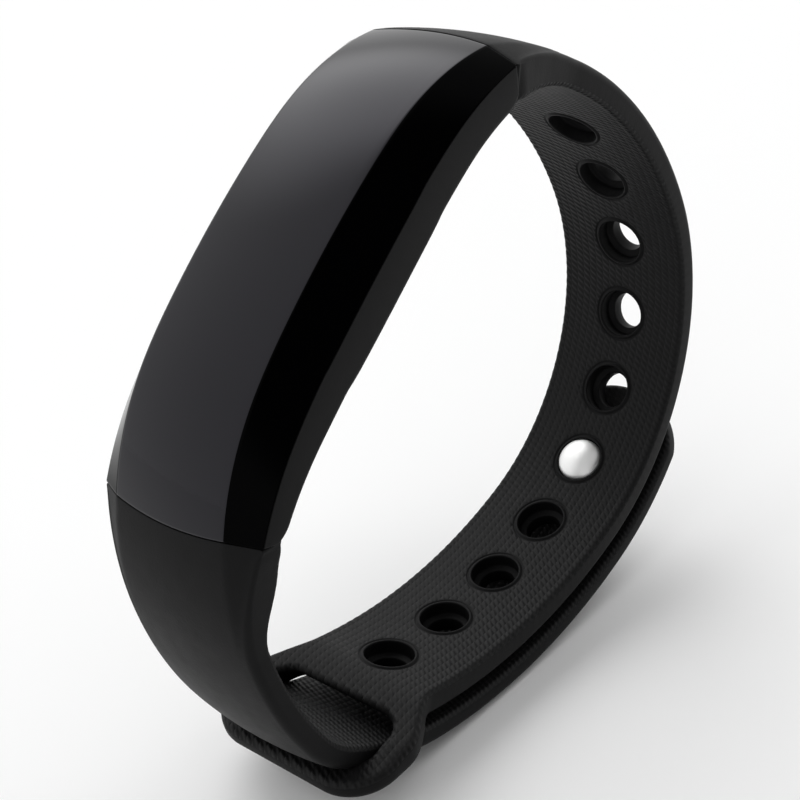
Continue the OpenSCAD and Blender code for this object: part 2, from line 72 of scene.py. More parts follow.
# The holed strap's arcs on its wrist side, from the module down; the tight bend is round the datum hole
ROOT_R, ROOT_SWEEP = 15.67, 36.71
UPPER_R, UPPER_L = 33.4, 23.2
BEND_R, BEND_UP_L, BEND_DOWN_L = 21.8, 12.8, 22.3
LOWER_R, LOWER_L = 47.3, 27.7
LOOP_BEND_R, LOOP_LEAN, LOOP_L = 9.0, 21.5, 20.0
ROOT_L = ROOT_R * math.radians(ROOT_SWEEP)
LOOP_BEND_L = LOOP_BEND_R * math.radians(LOOP_LEAN)
# Lengths from the datum hole: to the seam with the module, and to the loop
U0 = -BEND_UP_L - UPPER_L - ROOT_L
LOOP_U = BEND_DOWN_L + LOWER_L + LOOP_BEND_L

# Lengths on the wrist side at which the tail's tip lies and at which the tail leaves the holed strap,
# the radius of the tip's outline, and the tail's arcs from there on, on its outer face, as (radius, sweep)
TIP_L, TAIL_RUN_L, TIP_R = 7.5, 47.9, 7.3
DIP, PASS, RISE, TAIL_ROOT = (33.44, 23.24), (12.0, 24.83), (38.87, 20.25), (26.02, 24.77)


def cosd(a):
    return np.cos(np.radians(a))


def sind(a):
    return np.sin(np.radians(a))


def to_world(x, y, z):
    """Points in the band's frame, in mm, as points in the world, in metres."""
    c, s = math.cos(LEAN), math.sin(LEAN)
    return np.stack([x * c + z * s + DATUM[0], y, -x * s + z * c + DATUM[1]], -1) / 1000


def direction(d):
    """A direction in the band's frame as a direction in the world."""
    c, s = math.cos(LEAN), math.sin(LEAN)
    return Vector((d[0] * c + d[2] * s, d[1], -d[0] * s + d[2] * c))


# A state on a curve is its x, its z and its heading in degrees; a positive radius turns clockwise
def center(state, r):
    x, z, h = state
    return x + r * sind(h), z - r * cosd(h)


def step(state, r, sweep):
    cx, cz = center(state, r)
    h = state[2] - sweep
    return (cx - r * sind(h), cz + r * cosd(h), h)


def shift(state, d):
    x, z, h = state
    return (x - d * sind(h), z + d * cosd(h), h)


def degrees_of(length, r):
    return math.degrees(length / r)


class Chain:
    """Arcs end to end, as (radius, length); a radius of None is straight.

    start_l is the length at the first state. Past its ends the curve goes on as its end arcs do.
    """

    def __init__(self, state, start_l, arcs):
        self.rows = []
        for r, length in arcs:
            self.rows.append((start_l, state, r, length))
            if r is None:
                x, z, h = state
                state = (x + length * cosd(h), z + length * sind(h), h)
            else:
                state = step(state, r, math.degrees(length / r))
            start_l += length
        self.end_l = start_l

    def at(self, l):
        l = np.asarray(l, float)
        if l.ndim == 0:
            return tuple(v[0] for v in self.at(l[None]))
        x, z, h = np.zeros_like(l), np.zeros_like(l), np.zeros_like(l)
        for k, (l0, s, r, length) in enumerate(self.rows):
            low = -np.inf if k == 0 else l0
            high = np.inf if k == len(self.rows) - 1 else l0 + length
            m = (l >= low) & (l < high)
            d = l[m] - l0
            if r is None:
                x[m], z[m], h[m] = s[0] + d * cosd(s[2]), s[1] + d * sind(s[2]), s[2]
            else:
                cx, cz = center(s, r)
                hh = s[2] - np.degrees(d / r)
                x[m], z[m], h[m] = cx - r * sind(hh), cz + r * cosd(hh), hh
        return x, z, h


def arc(r, sweep):
    """A radius and a sweep in degrees as a radius and a length."""
    return r, r * math.radians(sweep)


# The curves of the holed strap's wrist side and of the tail's outer face
datum = (0.0, 0.0, -90.0)
bend_start = step(datum, BEND_R, -degrees_of(BEND_UP_L, BEND_R))
upper_start = step(bend_start, UPPER_R, -degrees_of(UPPER_L, UPPER_R))
wrist = Chain(step(upper_start, ROOT_R, -ROOT_SWEEP), U0, [
    (ROOT_R, ROOT_L), (UPPER_R, UPPER_L), (BEND_R, BEND_UP_L + BEND_DOWN_L), (LOWER_R, LOWER_L),
    (-LOOP_BEND_R, LOOP_BEND_L), (None, LOOP_L),
])
# How much longer the tail's outer face is than the wrist side under it
K_BEND, K_LOWER = (BEND_R + TAIL_OFF) / BEND_R, (LOWER_R + TAIL_OFF) / LOWER_R
tail = Chain(shift(wrist.at(TIP_L), TAIL_OFF), 0.0, [
    (BEND_R + TAIL_OFF, (BEND_DOWN_L - TIP_L) * K_BEND),
    (LOWER_R + TAIL_OFF, (TAIL_RUN_L - BEND_DOWN_L) * K_LOWER),
    arc(*DIP), arc(*PASS), arc(*RISE), arc(*TAIL_ROOT),
])
S_END = tail.end_l
TAIL_ROOT_L = arc(*TAIL_ROOT)[1]


def tail_s(l):
    """Length along the tail's outer face, from its tip, over the length l on the wrist side."""
    return (min(l, BEND_DOWN_L) - TIP_L) * K_BEND + max(l - BEND_DOWN_L, 0) * K_LOWER


def smooth(t):
    t = np.clip(t, 0, 1)
    return t * t * (3 - 2 * t)


# ---------------------------------------------------------------- mesh helpers
def make(name, verts, faces, materials, uv=None, smooth_angle=None, index=None):
    mesh = bpy.data.meshes.new(name)
    mesh.from_pydata([tuple(v) for v in verts], [], [tuple(int(i) for i in f) for f in faces])
    if uv is not None:
        layer = mesh.uv_layers.new(name="flat")
        loops = np.zeros(len(mesh.loops), np.int32)
        mesh.loops.foreach_get("vertex_index", loops)
        layer.data.foreach_set("uv", np.asarray(uv, np.float32)[loops].ravel())
    for m in materials:
        mesh.materials.append(m)
    if index is not None:
        mesh.polygons.foreach_set("material_index", np.asarray(index, np.int32))
    mesh.polygons.foreach_set("use_smooth", np.ones(len(mesh.polygons), bool))
    mesh.update()
    obj = bpy.data.objects.new(name, mesh)
    bpy.context.scene.collection.objects.link(obj)
    if smooth_angle:
        mesh.set_sharp_from_angle(angle=math.radians(smooth_angle))
    return obj


def resample(points, spacing):
    """A closed outline's points, evenly spaced."""
    p = np.vstack([points, points[:1]])
    d = np.r_[0, np.cumsum(np.linalg.norm(np.diff(p, axis=0), axis=1))]
    n = int(round(d[-1] / spacing))
    t = np.arange(n) * d[-1] / n
    return np.stack([np.interp(t, d, p[:, 0]), np.interp(t, d, p[:, 1])], 1)


def inward(p):
    """Normals that point into an anticlockwise outline."""
    t = np.roll(p, -1, 0) - np.roll(p, 1, 0)
    n = np.stack([-t[:, 1], t[:, 0]], 1)
    return n / np.linalg.norm(n, axis=1)[:, None]


def inside(q, poly):
    x, y = q[:, 0][:, None], q[:, 1][:, None]
    a, b = poly, np.roll(poly, -1, 0)
    cross = (a[:, 1] > y) != (b[:, 1] > y)
    rise = np.where(b[:, 1] == a[:, 1], 1e-9, b[:, 1] - a[:, 1])
    xi = a[:, 0] + (y - a[:, 1]) * (b[:, 0] - a[:, 0]) / rise
    return (cross & (x < xi)).sum(1) % 2 == 1


def far_from(q, curve, gap, batch=2000):
    keep = np.ones(len(q), bool)
    for k in range(0, len(q), batch):
        part = q[k:k + batch]
        d = ((part[:, None, :] - curve[None]) ** 2).sum(2).min(1)
        keep[k:k + batch] = d > gap * gap
    return keep


def fill(loops, spacing):
    """Triangles over the area inside loops[0] and outside the other loops.

    Returns the points, with the loops' own points first, and the triangles.
    """
    curve = np.vstack(loops)
    lo, hi = loops[0].min(0), loops[0].max(0)
    gx = np.arange(lo[0], hi[0], spacing[0])
    gy = np.arange(lo[1] + 0.01, hi[1], spacing[1])
    g = np.stack(np.meshgrid(gx, gy, indexing="ij"), -1)
    g[::2, :, 1] += spacing[1] / 2
    g = g.reshape(-1, 2)
    g = g[inside(g, loops[0])]
    for hole in loops[1:]:
        g = g[~inside(g, hole)]
    g = g[far_from(g, curve, 0.55 * min(spacing))]
    points = np.vstack([curve, g])
    edges, k = [], 0
    for lp in loops:
        n = len(lp)
        edges += [(k + i, k + (i + 1) % n) for i in range(n)]
        k += n
    out = delaunay_2d_cdt([Vector(p) for p in points], edges, [], 0, 1e-7, True)
    first = [src[0] if src else -1 for src in out[3]]
    if len(out[0]) != len(points):
        raise RuntimeError("points were merged or added: %d of %d" % (len(out[0]), len(points)))
    tri = np.array([[first[i] for i in f] for f in out[2]])
    mid = points[tri].mean(1)
    ok = inside(mid, loops[0])
    for hole in loops[1:]:
        ok &= ~inside(mid, hole)
    tri = tri[ok]
    a, b, c = points[tri[:, 0]], points[tri[:, 1]], points[tri[:, 2]]
    area = (b[:, 0] - a[:, 0]) * (c[:, 1] - a[:, 1]) - (b[:, 1] - a[:, 1]) * (c[:, 0] - a[:, 0])
    tri[area < 0] = tri[area < 0][:, ::-1]
    return points, tri[np.abs(area) > 1e-9]


# Spacing of the points inside a strap's faces, along it and across it, and the points round each hole
SPACING, BORE_POINTS = (0.42, 0.4), 56
# Angles of the rings round a strap's outer edge, from the face, and round its wrist-side edge, to the face
OUTER_ROUND = np.radians([0, 12, 25, 38, 52, 66, 78, 90])
INNER_ROUND = np.radians([90, 75, 58, 42, 28, 14, 0])
# Share of the ripple's height that reaches a strap's side
RIPPLE_SIDE = 0.4
# The flat UV map counts centimetres
UV_PER_MM = 0.1


def slab(name, place, o_out, o_in, outline, cuts, bores, r_out, r_in, materials, ripple, cut_lean=None):
    """A strap laid out flat in (u, v), in mm, and wrapped by place(u, v, o), with o the height.

    o_out(u, v) and o_in(u, v) are the heights of its two faces. r_out(u, k), r_in(u, k) and ripple(u, k)
    are the rounding of the edges and the ripple's height, with k 0 on the outline and the cut's number
    on a cut. cuts are inner outlines, whose walls lean by cut_lean(u) at the outer face.
    bores are (u, v, rows), with rows of (radius, height, is the height from the outer face). The
    first material is on the outer face and the edges, and the second on the wrist side.
    """
    verts, uvs, faces, index = [], [], [], []
    count = 0

    def add(uv, o):
        nonlocal count
        uv = np.asarray(uv, float)
        verts.append(place(uv[:, 0], uv[:, 1], np.asarray(o, float)))
        uvs.append(uv)
        count += len(uv)
        return np.arange(count - len(uv), count)

    def band(a, b, mat, flip):
        n = len(a)
        for i in range(n):
            j = (i + 1) % n
            quad = (a[i], a[j], b[j], b[i])
            faces.append(quad[::-1] if flip else quad)
            index.append(mat)

    top_loops, top_ids, low_loops, low_ids = [], [], [], []

    def keep_borders(loops, ids):
        """The first ring is the outer face's border, and the last one the wrist side's."""
        top_loops.append(loops[0])
        top_ids.append(ids[0])
        low_loops.append(loops[-1])
        low_ids.append(ids[-1])

    for k, loop in enumerate([outline] + cuts):
        n = inward(loop) * (1 if k == 0 else -1)
        ro, ri = r_out(loop[:, 0], k), r_in(loop[:, 0], k)
        lean = np.stack([cut_lean(loop[:, 0]) if k else np.zeros(len(loop)), np.zeros(len(loop))], 1)
        top = loop - lean + n * ro[:, None]
        top_o = o_out(top[:, 0], top[:, 1])
        rings = []
        for a in OUTER_ROUND:
            p = loop - lean + n * (ro * (1 - math.sin(a)))[:, None]
            rings.append((p, top_o - ro * (1 - math.cos(a))))
        low = loop + n * ri[:, None]
        low_o = o_in(low[:, 0], low[:, 1])
        wave = ripple(loop[:, 0], k)
        for a in INNER_ROUND:
            part = 1 - math.sin(a)
            bulge = wave * (RIPPLE_SIDE + (1 - RIPPLE_SIDE) * part) * (a != INNER_ROUND[0])
            p = loop + n * (ri * part - bulge)[:, None]
            rings.append((p, low_o + ri * (1 - math.cos(a)) - bulge * math.cos(a)))
        ids = [add(p, o) for p, o in rings]
        for m in range(len(ids) - 1):
            band(ids[m], ids[m + 1], int(m > len(OUTER_ROUND)), k == 0)
        keep_borders([p for p, o in rings], ids)
    for u, v, rows in bores:
        t = np.linspace(0, 2 * math.pi, BORE_POINTS, endpoint=False)
        ids, loops = [], []
        for r, o, from_outer in rows:
            p = np.stack([u + r * np.cos(t), v + r * np.sin(t)], 1)
            h = (o_out(p[:, 0], p[:, 1]) if from_outer else o_in(p[:, 0], p[:, 1])) + o
            ids.append(add(p, h))
            loops.append(p)
        for m in range(len(ids) - 1):
            band(ids[m], ids[m + 1], 0, False)
        keep_borders(loops, ids)
    for loops, ids, height, mat in ((top_loops, top_ids, o_out, 0), (low_loops, low_ids, o_in, 1)):
        points, tri = fill(loops, SPACING)
        known = np.concatenate(ids)
        extra = points[len(known):]
        new = add(extra, height(extra[:, 0], extra[:, 1]))
        ref = np.concatenate([known, new])
        for f in ref[tri]:
            faces.append(tuple(f[::-1]) if mat else tuple(f))
            index.append(mat)
    uv = np.vstack(uvs) * UV_PER_MM
    return make(name, np.vstack(verts), faces, uv=uv, materials=materials, index=index)


# ---------------------------------------------------------------- materials
def material(name, color, rough, metal=0.0, spec=0.5):
    m = bpy.data.materials.new(name)
    m.use_nodes = True
    shader = m.node_tree.nodes["Principled BSDF"]
    shader.inputs["Base Color"].default_value = (*color, 1)
    shader.inputs["Roughness"].default_value = rough
    shader.inputs["Metallic"].default_value = metal
    shader.inputs["Specular IOR Level"].default_value = spec
    return m, m.node_tree, shader


def noise(tree, scale, detail):
    coords = tree.nodes.new("ShaderNodeTexCoord")
    texture = tree.nodes.new("ShaderNodeTexNoise")
    texture.inputs["Scale"].default_value = scale
    texture.inputs["Detail"].default_value = detail
    tree.links.new(coords.outputs["Object"], texture.inputs["Vector"])
    return texture.outputs["Fac"]


def bump(tree, height, strength, distance):
    node = tree.nodes.new("ShaderNodeBump")
    node.inputs["Strength"].default_value = strength
    node.inputs["Distance"].default_value = distance
    tree.links.new(height, node.inputs["Height"])
    return node


def noise_bump(tree, shader, scale, strength, distance, detail=4.0):
    node = bump(tree, noise(tree, scale, detail), strength, distance)
    tree.links.new(node.outputs["Normal"], shader.inputs["Normal"])


def rough_noise(tree, shader, scale, low, high):
    spread = tree.nodes.new("ShaderNodeMapRange")
    spread.inputs["To Min"].default_value = low
    spread.inputs["To Max"].default_value = high
    tree.links.new(noise(tree, scale, 5.0), spread.inputs["Value"])
    tree.links.new(spread.outputs["Result"], shader.inputs["Roughness"])


def math_node(tree, op, a, b=None):
    n = tree.nodes.new("ShaderNodeMath")
    n.operation = op
    for i, v in enumerate([a, b]):
        if v is None:
            continue
        if isinstance(v, (int, float)):
            n.inputs[i].default_value = v
        else:
            tree.links.new(v, n.inputs[i])
    return n.outputs[0]


# The weave's pitch along a strap and across it, how far its dashes slant over one column, in pitches,
# and the power that rounds the columns
WEAVE_U, WEAVE_V, WEAVE_SLANT, WEAVE_ROUND = 0.62, 0.78, 0.7, 0.6
# The weave's height and strength, and the scale, height and strength of the rubber's grain, in metres
WEAVE_HIGH, WEAVE_STRENGTH = 0.0001, 0.7
GRAIN_SCALE, GRAIN_HIGH, GRAIN_STRENGTH = 5200, 0.00005, 0.25


def weave(tree, shader):
    """Columns of slanted dashes along a strap, from the flat UV map, under the rubber's grain."""
    flat = tree.nodes.new("ShaderNodeUVMap")
    flat.uv_map = "flat"
    split = tree.nodes.new("ShaderNodeSeparateXYZ")
    tree.links.new(flat.outputs["UV"], split.inputs["Vector"])
    u = math_node(tree, "MULTIPLY", split.outputs["X"], 1 / (UV_PER_MM * WEAVE_U))
    v = math_node(tree, "MULTIPLY", split.outputs["Y"], 1 / (UV_PER_MM * WEAVE_V))
    # v is zero in the middle of the strap; fifty columns more keep the column's number above zero
    column = math_node(tree, "ADD", v, 50.0)
    part = math_node(tree, "FRACT", column)
    parity = math_node(tree, "MULTIPLY", math_node(tree, "FLOOR", column), 0.5)
    slant = math_node(tree, "MULTIPLY", part, WEAVE_SLANT)
    phase = math_node(tree, "ADD", math_node(tree, "ADD", u, slant), parity)
    wave = math_node(tree, "SINE", math_node(tree, "MULTIPLY", phase, 2 * math.pi))
    wave = math_node(tree, "ADD", math_node(tree, "MULTIPLY", wave, 0.5), 0.5)
    edge = math_node(tree, "SINE", math_node(tree, "MULTIPLY", part, math.pi))
    height = math_node(tree, "MULTIPLY", wave, math_node(tree, "POWER", edge, WEAVE_ROUND))
    dashes = bump(tree, height, WEAVE_STRENGTH, WEAVE_HIGH)
    grain = bump(tree, noise(tree, GRAIN_SCALE, 2.0), GRAIN_STRENGTH, GRAIN_HIGH)
    tree.links.new(dashes.outputs["Normal"], grain.inputs["Normal"])
    tree.links.new(grain.outputs["Normal"], shader.inputs["Normal"])


rubber, rubber_tree, rubber_bsdf = material("strap_smooth", (0.0045, 0.0045, 0.0047), 0.5, spec=0.085)
noise_bump(rubber_tree, rubber_bsdf, GRAIN_SCALE, GRAIN_STRENGTH, GRAIN_HIGH)
rough_noise(rubber_tree, rubber_bsdf, 700, 0.46, 0.56)

woven, woven_tree, woven_bsdf = material("strap_woven", (0.006, 0.006, 0.0062), 0.5, spec=0.13)
rough_noise(woven_tree, woven_bsdf, 900, 0.46, 0.58)
weave(woven_tree, woven_bsdf)

lens_mat, lens_tree, lens_bsdf = material("lens_gloss", (0.0015, 0.0015, 0.002), 0.07, spec=0.285)
lens_bsdf.inputs["Specular Tint"].default_value = (0.91, 0.89, 1.0, 1)
noise_bump(lens_tree, lens_bsdf, 120, 0.02, 0.00001, 1.0)

bevel_mat, bevel_tree, bevel_bsdf = material("lens_bevel", (0.0004, 0.0004, 0.0005), 0.09)
bevel_bsdf.inputs["IOR"].default_value = 1.08
noise_bump(bevel_tree, bevel_bsdf, 120, 0.02, 0.00001, 1.0)

case_mat, case_tree, case_bsdf = material("case_satin", (0.003, 0.003, 0.0032), 0.4, spec=0.09)
noise_bump(case_tree, case_bsdf, 6500, 0.2, 0.00003)
rough_noise(case_tree, case_bsdf, 900, 0.38, 0.46)

metal_mat, metal_tree, metal_bsdf = material("stud_satin", (0.9, 0.9, 0.895), 0.5, metal=1.0)
noise_bump(metal_tree, metal_bsdf, 9000, 0.1, 0.00002)
rough_noise(metal_tree, metal_bsdf, 2500, 0.46, 0.54)

gold_mat, gold_tree, gold_bsdf = material("contact_gold", (0.83, 0.62, 0.3), 0.3, metal=1.0)
noise_bump(gold_tree, gold_bsdf, 7000, 0.1, 0.00002)

# ---------------------------------------------------------------- both straps
# How far the seam's bulge reaches into a strap, the rounding of a root's corners in its outline,
# and the power with which a root's width and facet go over into the plain strap's
SEAM_REACH, SEAM_CORNER_R, ROOT_POWER = 4.0, 0.3, 1.5
# Share of its width by which a root draws in over SEAM_CUT, and where and how fast that fades
SEAM_DRAW, DRAW_FROM, DRAW_FADE = 0.085, 0.3, 1.2
OUTLINE_SPACING, SLOT_SPACING = 0.17, 0.2
# The ripple's pitch along the straps' edges, and its height on each strap
RIPPLE_U, HOLED_RIPPLE, TAIL_RIPPLE = 1.0, 0.045, 0.015


def half_width(near):
    """A strap's half width; near is 1 at the seam and 0 on the plain strap."""
    return HALF_W + (HALF_M - HALF_W) * near ** ROOT_POWER


def outer_height(v, near, seam, plain):
    """Height of a strap's outer face; seam and plain are its heights as (middle, facet's edge, side)."""
    k = near ** ROOT_POWER
    f = HALF_W - CORNER_R + (HALF_F - HALF_W + CORNER_R) * k
    mid, shoulder, edge = (b + (a - b) * k for a, b in zip(seam, plain))
    av = np.abs(v)
    inner = mid - (mid - shoulder) * (av / f) ** 2
    slope = np.clip((av - f) / np.maximum(half_width(near) - f, 0.01), 0, 1)
    return np.where(av < f, inner, shoulder - (shoulder - edge) * slope)


def eased(x, first, *steps):
    """A value that starts as first; each step is (value, where the change to it starts, its length)."""
    total, last = first, first
    for value, start, length in steps:
        total = total + (value - last) * smooth((x - start) / length)
        last = value
    return total


def seam_bow(v):
    return SEAM_BOW * np.clip(1 - (v / HALF_F) ** 2, 0, 1)


def seam_shift(v, gap):
    """How far the seam's bulge pushes a strap away, at a distance of gap from the seam."""
    return seam_bow(v) * np.clip(1 - gap / SEAM_REACH, 0, 1) ** 2


def seam_chamfer(v, gap, height):
    """The place v across a root, drawn in at its wrist-side edges to follow the case's chamfered ends."""
    near = 1 - smooth((gap - DRAW_FROM) / DRAW_FADE)
    low = np.clip(1 - height / SEAM_CUT, 0, 1)
    return v * (1 - SEAM_DRAW * near * low * smooth((np.abs(v) - HALF_F) / 2))


def arc_points(cx, cy, r, a0, a1, n=24):
    t = np.radians(np.linspace(a0, a1, n))
    return np.stack([cx + r * np.cos(t), cy + r * np.sin(t)], 1)


def both_sides(half):
    """An anticlockwise outline from its +v half, listed from high u to low u."""
    return np.vstack([half, half[::-1] * [1, -1]])


def ripple_wave(length, height):
    return height * (0.5 + 0.5 * np.cos(2 * math.pi * length / RIPPLE_U))


# ---------------------------------------------------------------- holed strap, root to loop
# How far the root's end face leans from square to its wrist side, in degrees
FAN = 7.85
LOWER_END = BEND_DOWN_L + LOWER_L
# The loop's half width, the radius of its corners, its thickness and its end
LOOP_W, LOOP_CORNER_R, LOOP_T = 9.8, 4.7, 2.4
END_U = LOOP_U + 9.95
# Where the strap starts to widen and to thin towards the loop, and the lengths of these changes
FLARE_U, FLARE_L = LOWER_END + 0.2, 6.6
THIN_U, THIN_L = LOWER_END - 0.5, 4.5
# The loop's ring is thinner than the strap beside it by this on each face
BAR_INSET = 0.2
# The loop's slot, the radii of its corners at both ends, and the ramp on its strap side
SLOT_U0, SLOT_U1, SLOT_W = LOOP_U + 1.2, LOOP_U + 7.9, 7.2
SLOT_START_R, SLOT_END_R = 2.3, 3.0
RAMP, RAMP_L = 1.25, 1.8


def holed_near(u):
    """1 at the seam with the module, 0 from where the root ends."""
    return 1 - np.clip((u - U0) / ROOT_L, 0, 1)


def holed_w(u):
    return half_width(holed_near(u)) + (LOOP_W - HALF_W) * smooth((u - FLARE_U) / FLARE_L)


def ring_part(u):
    """0 on the strap, 1 where only the loop's thin ring is left."""
    return smooth((u - LOOP_U - 3.5) / 2.5)


def holed_out(u, v):
    seam = (UP_END_T + FACET_CROWN, UP_END_T, UP_SIDE_T)
    plain = (STRAP_T, STRAP_T - CROWN, STRAP_T - CROWN - EDGE_DROP)
    h = outer_height(v, holed_near(u), seam, plain)
    k = smooth((u - THIN_U) / THIN_L)
    return h * (1 - k) + LOOP_T * k - BAR_INSET * ring_part(u)


def holed_in(u, v):
    return BAR_INSET * ring_part(u)


def place_holed(u, v, o):
    v = seam_chamfer(v, u - U0, o)
    u = u + seam_shift(v, u - U0) * np.clip(o / UP_END_T, 0, 1) * ROOT_R / (ROOT_R + o)
    x, z, h = wrist.at(u)
    h = h - FAN * holed_near(u) ** 2
    return to_world(x - o * sind(h), v, z + o * cosd(h))


# Rounding of the outer edges and of the wrist-side ones; k is 0 on the outline and 1 on the slot
def holed_r_out(u, k):
    if k:
        return np.full_like(u, 0.5)
    return eased(u - U0, 0.07, (0.4, 0, 1.2), (CORNER_R, 3, 8))


def holed_r_in(u, k):
    if k:
        return np.full_like(u, 0.6)
    return eased(u - U0, 0.2, (0.7, 0, 1.2), (0.45, 2, 5), (0.6, LOWER_END - U0, 4))


def slot_lean(u):
    """How far the slot's wall leans back at the outer face, on the side where the tail slides out."""
    return RAMP * smooth((SLOT_U0 + RAMP_L - u) / RAMP_L)


def holed_ripple(u, k):
    fade = smooth((u - U0 - 1) / 2) * (1 - smooth((u - LOWER_END + 4) / 5))
    return ripple_wave(u, HOLED_RIPPLE) * fade


edge_u = np.linspace(FLARE_U + FLARE_L + 0.1, U0 + SEAM_CORNER_R + 0.05, 400)
outline = resample(both_sides(np.vstack([
    [[END_U, 0.0]],
    arc_points(END_U - LOOP_CORNER_R, LOOP_W - LOOP_CORNER_R, LOOP_CORNER_R, 0, 90, 30),
    np.stack([edge_u, holed_w(edge_u)], 1),
    arc_points(U0 + SEAM_CORNER_R, HALF_M - SEAM_CORNER_R, SEAM_CORNER_R, 90, 180, 6),
])), OUTLINE_SPACING)
slot = resample(both_sides(np.vstack([
    arc_points(SLOT_U1 - SLOT_END_R, SLOT_W - SLOT_END_R, SLOT_END_R, 0, 90, 24),
    arc_points(SLOT_U0 + SLOT_START_R, SLOT_W - SLOT_START_R, SLOT_START_R, 90, 180, 18),
])), SLOT_SPACING)

# A hole's outer edge and bore, and its step and the raised lip round it, as (radius, height from the face)
HOLE_OUTER = [(1.98, 0.0), (1.86, -0.03), (1.76, -0.1), (1.7, -0.22), (1.7, -0.8)]
HOLE_WRIST = [
    (1.7, 1.55), (1.72, 1.42), (1.8, 1.34), (2.25, 1.3), (2.33, 1.22), (2.35, 1.1), (2.35, 0.2),
    (2.35, 0.06), (2.38, -0.03), (2.44, -0.07), (2.52, -0.07), (2.6, -0.03), (2.66, 0.04), (2.72, 0.08),
    (2.79, 0.08), (2.85, 0.03), (2.92, 0.0),
]
HOLE_ROWS = [(r, o, True) for r, o in HOLE_OUTER] + [(r, o, False) for r, o in HOLE_WRIST]
bores = [(u, 0.0, HOLE_ROWS) for u in HOLES]
holed = slab("holed_strap_skin", place_holed, holed_out, holed_in, outline, [slot], bores, holed_r_out,
             holed_r_in, [rubber, woven], holed_ripple, slot_lean)
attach(holed, "band")
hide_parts("holed_strap_root", "holed_strap_upper", "holed_strap_middle", "holed_strap_bend",
            "holed_strap_lower", "strap_loop", "stud_hole_ring")

# ---------------------------------------------------------------- tail strap
# From the plain strap on, the root reaches the module's thickness after 1 / FILL_OUT of its length
FILL_OUT = 1.4
# A length on the wrist side and half of a stretch round it; the tail's points a and b at the stretch's two
# ends are taken below
PEEL_L, PEEL_HALF = 30.0, 3.5
# Where the tip's arc meets the strap's straight edges: its length and half its angle
TIP_FULL = TIP_R - math.sqrt(TIP_R ** 2 - HALF_W ** 2)
TIP_ANGLE = math.degrees(math.asin(HALF_W / TIP_R))


def tail_near(s):
    """1 at the seam with the module, 0 until the root starts."""
    return np.clip((s - (S_END - TAIL_ROOT_L)) / TAIL_ROOT_L, 0, 1)


def tail_out(s, v):
    seam = (0.0, -FACET_CROWN, DOWN_SIDE_T - TAIL_ROOT_T)
    return outer_height(v, tail_near(s), seam, (0.0, -CROWN, -CROWN - EDGE_DROP))


def tail_in(s, v):
    return -TAIL_T - (TAIL_ROOT_T - TAIL_T) * smooth(FILL_OUT * tail_near(s))


def place_tail(s, v, o):
    v = seam_chamfer(v, S_END - s, o + TAIL_ROOT_T)
    s = s - seam_shift(v, S_END - s) * np.clip(1 + o / TAIL_ROOT_T, 0, 1)
    x, z, h = tail.at(s)
    return to_world(x - o * sind(h), v, z + o * cosd(h))


def tail_point(l):
    """The middle of the tail's outer face over the length l on the wrist side."""
    return place_tail(np.array([tail_s(l)]), np.zeros(1), np.zeros(1))[0]


def tail_r_out(s, k):
    return eased(S_END - s, 0.07, (0.4, 0, 1.2), (0.8, 3, 8))


def tail_r_in(s, k):
    return eased(S_END - s, 0.2, (0.95, 0.3, 1.2), (0.45, 2, 5))


def tail_ripple(s, k):
    return ripple_wave(s, TAIL_RIPPLE) * smooth((S_END - s - 1) / 2)


edge_s = np.linspace(S_END - SEAM_CORNER_R - 0.05, TIP_FULL + 0.06, 400)
tail_outline = resample(both_sides(np.vstack([
    arc_points(S_END - SEAM_CORNER_R, HALF_M - SEAM_CORNER_R, SEAM_CORNER_R, 0, 90, 6),
    np.stack([edge_s, half_width(tail_near(edge_s))], 1),
    arc_points(TIP_R, 0, TIP_R, 180 - TIP_ANGLE, 180, 40),
])), OUTLINE_SPACING)
tail_obj = slab("tail_strap_skin", place_tail, tail_out, tail_in, tail_outline, [], [], tail_r_out,
                tail_r_in, [rubber, woven], tail_ripple)
a = tail_point(PEEL_L + PEEL_HALF)
b = tail_point(PEEL_L - PEEL_HALF)
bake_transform(tail_obj)
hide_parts("tail_strap_root", "tail_strap_loop_run", "tail_strap_free_end", "tail_tip")

# ---------------------------------------------------------------- module
# The module's tilt, the middle of its top facet, and the radius and end angle of the facet's two arcs
TILT = 49.8
MODULE = (-50.9, 16.6)
FLAT_R, FLAT_A, END_R, END_A = 100.0, 5.6, 23.5, 37.5
FLAT_L = FLAT_R * math.radians(FLAT_A)
END_L = END_R * math.radians(END_A - FLAT_A)
# Powers with which the bevels and the thickness shrink towards the ends
BEVEL_POWER, DEPTH_POWER = 2.2, 2
# Where the bulge of the ends starts, and the depth under the facet at which it is gone
BOW_A, BOW_DEPTH = 25.0, 4.5
# Thickness of the case's wall, width of the lens's rim on it, and the gap between the two
WALL, LENS_RIM, GAP = 1.4, 1.1, 0.01
LENS_END, COVER_A = END_A - 0.02, END_A - 3.1
# Rounding of the ends' edges, and over how many degrees it goes
EDGE_EASE, EASE_A = 0.06, 0.35
UV_PER_DEGREE = 0.05


